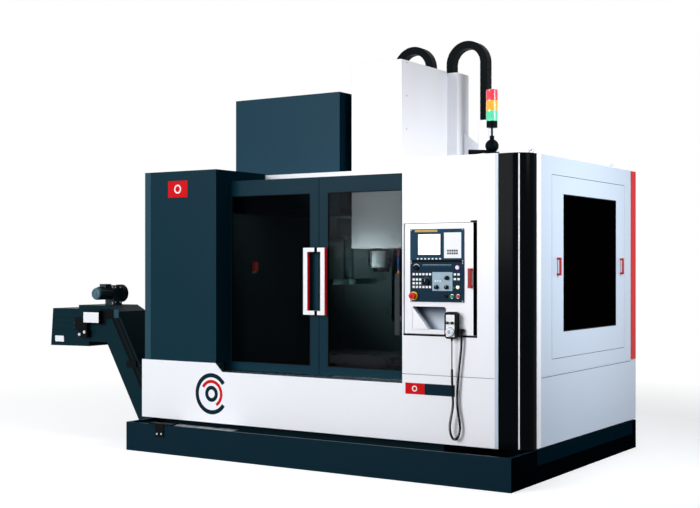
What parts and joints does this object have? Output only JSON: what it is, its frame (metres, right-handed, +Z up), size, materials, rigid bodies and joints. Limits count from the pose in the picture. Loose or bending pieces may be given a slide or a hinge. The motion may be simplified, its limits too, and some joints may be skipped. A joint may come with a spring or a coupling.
{
  "type": "cnc machining center",
  "caption": "Enclosed vertical machining center with sliding doors, swinging control box, tool magazine, cable chains, coolant tray and a chip conveyor at its side.",
  "frame": {"origin": "on the floor, halfway between the coolant tray's front and rear walls", "axes": "+X to the right seen from the front, +Y to the rear, +Z up"},
  "size_m": [4.274, 2.4683, 3.098],
  "materials": {
    "tray_paint": "satin dark navy paint",
    "dark_paint": "satin dark teal paint",
    "magazine_paint": "satin teal paint",
    "column_paint": "glossy black paint",
    "white_paint": "satin white paint",
    "side_paint": "satin pale blue paint",
    "liner_paint": "satin grey green paint",
    "casting_paint": "painted casting",
    "machined_steel": "ground steel",
    "machine_parts": "black housings",
    "door_glass": "smoked clear",
    "window_glass": "dark clear",
    "chain_plastic": "matte black",
    "unit_plastic": "grey plastic",
    "panel_plastic": "dark grey plastic",
    "pendant_plastic": "black plastic",
    "cord_rubber": "black cord",
    "red_plastic": "red",
    "green_plastic": "green",
    "knob_plastic": "black",
    "wheel_plastic": "white",
    "lens_plastic": "coloured lenses",
    "conveyor_paint": "satin dark teal paint",
    "belt_steel": "worn steel",
    "motor_paint": "grey paint"
  },
  "bodies": {
    "frame": {"coolant_tray": "tray_paint", "machine_bed": "casting_paint", "leveling_feet": "machined_steel", "column": "casting_paint", "guide_rails": "machined_steel", "feed_motors": "machine_parts", "chain_duct": "white_paint", "magazine_cover": "magazine_paint", "magazine_frame": "casting_paint", "left_cabinet": "dark_paint", "lower_front_panel": "white_paint", "door_sill": "machined_steel", "door_header": "machined_steel", "splash_liner": "liner_paint", "roof_panel": "white_paint", "right_front_panel": "white_paint", "corner_column": "column_paint", "side_panel": "side_paint", "rear_panel": "side_paint", "electrical_cabinet": "side_paint", "coolant_pump": "motor_paint", "lamp_post": "chain_plastic", "lamp_lenses": "lens_plastic", "conveyor_housing": "conveyor_paint", "conveyor_motor": "motor_paint", "conveyor_belt": "belt_steel"},
    "left_leaf": {"left_door": "dark_paint", "left_glass": "door_glass", "left_handle": "white_paint"},
    "right_leaf": {"right_door": "dark_paint", "right_glass": "door_glass", "right_handle": "white_paint"},
    "operator_panel": {"operator_box": "white_paint", "cnc_unit": "unit_plastic", "key_panel": "panel_plastic", "pendant": "pendant_plastic", "cord_straight": "cord_rubber", "cord_curly": "cord_rubber"},
    "emergency_button": {"emergency_stop": "red_plastic"},
    "start_key": {"start_button": "green_plastic"},
    "stop_key": {"stop_button": "red_plastic"},
    "feed_selector": {"feed_knob": "knob_plastic"},
    "spindle_selector": {"spindle_knob": "knob_plastic"},
    "jog_wheel": {"handwheel": "wheel_plastic"},
    "side_hatch": {"hatch_frame": "side_paint", "hatch_glass": "window_glass"},
    "saddle_slide": {"saddle": "casting_paint"},
    "table_slide": {"table": "casting_paint"},
    "head": {"spindle_head": "casting_paint", "head_cover": "white_paint"},
    "spindle": {"spindle_shaft": "machined_steel"},
    "tool_wheel": {"tool_disc": "machined_steel"},
    "change_arm": {"tool_arm": "machined_steel"},
    "belt_drive": {"conveyor_drive": "machined_steel"},
    "cabinet_door": {"electrical_door": "side_paint"},
    "chain_of_head": {"head_chain": "chain_plastic"},
    "chain_of_roof": {"roof_chain": "chain_plastic"},
    "long_screw": {"x_screw": "machined_steel"},
    "cross_screw": {"y_screw": "machined_steel"},
    "vertical_screw": {"z_screw": "machined_steel"}
  },
  "joints": [
    {"name": "left_door_slide", "type": "slide", "parent": "frame", "child": "left_leaf", "axis": [-1, 0, 0], "range_m": [0, 0.6]},
    {"name": "right_door_slide", "type": "slide", "parent": "frame", "child": "right_leaf", "axis": [1, 0, 0], "range_m": [0, 0.6]},
    {"name": "operator_panel_swing", "type": "hinge", "parent": "frame", "child": "operator_panel", "pos_m": [0.648, -0.815, 1.26], "axis": [0, 0, -1], "range_deg": [0, 90]},
    {"name": "emergency_stop_push", "type": "slide", "parent": "operator_panel", "child": "emergency_button", "axis": [0, 1, 0], "range_m": [0, 0.005], "stiffness_N_per_m": 2500},
    {"name": "start_push", "type": "slide", "parent": "operator_panel", "child": "start_key", "axis": [0, 1, 0], "range_m": [0, 0.003], "stiffness_N_per_m": 1200},
    {"name": "stop_push", "type": "slide", "parent": "operator_panel", "child": "stop_key", "axis": [0, 1, 0], "range_m": [0, 0.003], "stiffness_N_per_m": 1200},
    {"name": "feed_turn", "type": "hinge", "parent": "operator_panel", "child": "feed_selector", "pos_m": [0.882, -0.84, 1.206], "axis": [0, -1, 0], "range_deg": [-135, 135]},
    {"name": "spindle_speed_turn", "type": "hinge", "parent": "operator_panel", "child": "spindle_selector", "pos_m": [0.957, -0.84, 1.265], "axis": [0, -1, 0], "range_deg": [-135, 135]},
    {"name": "jog_wheel_turn", "type": "hinge", "parent": "operator_panel", "child": "jog_wheel", "pos_m": [1.003, -0.89, 0.928], "axis": [0, -1, 0], "continuous": true},
    {"name": "side_hatch_slide", "type": "slide", "parent": "frame", "child": "side_hatch", "axis": [1, 0, 0], "range_m": [0, 0.3]},
    {"name": "saddle_travel", "type": "slide", "parent": "frame", "child": "saddle_slide", "axis": [0, 1, 0], "range_m": [-0.25, 0.25]},
    {"name": "table_travel", "type": "slide", "parent": "saddle_slide", "child": "table_slide", "axis": [1, 0, 0], "range_m": [-0.4, 0.4]},
    {"name": "head_travel", "type": "slide", "parent": "frame", "child": "head", "axis": [0, 0, -1], "range_m": [0, 0.5]},
    {"name": "spindle_turn", "type": "hinge", "parent": "head", "child": "spindle", "pos_m": [-0.165, 0.219, 1.31], "axis": [0, 0, -1], "continuous": true},
    {"name": "tool_wheel_turn", "type": "hinge", "parent": "frame", "child": "tool_wheel", "pos_m": [-0.948, 0.345, 2.19], "axis": [0, 1, 0], "continuous": true},
    {"name": "change_arm_swing", "type": "hinge", "parent": "frame", "child": "change_arm", "pos_m": [-0.465, 0.219, 1.219], "axis": [0, 0, 1], "range_deg": [-90, 0]},
    {"name": "belt_drive_turn", "type": "hinge", "parent": "frame", "child": "belt_drive", "pos_m": [-2.48, -0.54, 0.87], "axis": [0, 1, 0], "continuous": true},
    {"name": "cabinet_door_swing", "type": "hinge", "parent": "frame", "child": "cabinet_door", "pos_m": [1.2675, 1.3558, 1.135], "axis": [0, 0, -1], "range_deg": [0, 110]},
    {"name": "head_chain_travel", "type": "slide", "parent": "frame", "child": "chain_of_head", "axis": [0, 0, -1], "range_m": [0, 0.25]},
    {"name": "roof_chain_travel", "type": "slide", "parent": "frame", "child": "chain_of_roof", "axis": [0, 0, -1], "range_m": [0, 0.25]},
    {"name": "long_screw_turn", "type": "hinge", "parent": "saddle_slide", "child": "long_screw", "pos_m": [-0.165, 0.219, 0.495], "axis": [1, 0, 0], "continuous": true},
    {"name": "cross_screw_turn", "type": "hinge", "parent": "frame", "child": "cross_screw", "pos_m": [-0.165, 0.24, 0.38], "axis": [0, 1, 0], "continuous": true},
    {"name": "vertical_screw_turn", "type": "hinge", "parent": "frame", "child": "vertical_screw", "pos_m": [-0.165, 0.738, 1.6], "axis": [0, 0, 1], "continuous": true}
  ],
  "couplings": [
    {"joint": "head_chain_travel", "follows": "head_travel", "ratio": 0.5},
    {"joint": "roof_chain_travel", "follows": "head_travel", "ratio": 0.5},
    {"joint": "long_screw_turn", "follows": "table_travel", "rad_per_m": 523.6},
    {"joint": "cross_screw_turn", "follows": "saddle_travel", "rad_per_m": 523.6},
    {"joint": "vertical_screw_turn", "follows": "head_travel", "rad_per_m": 523.6}
  ]
}
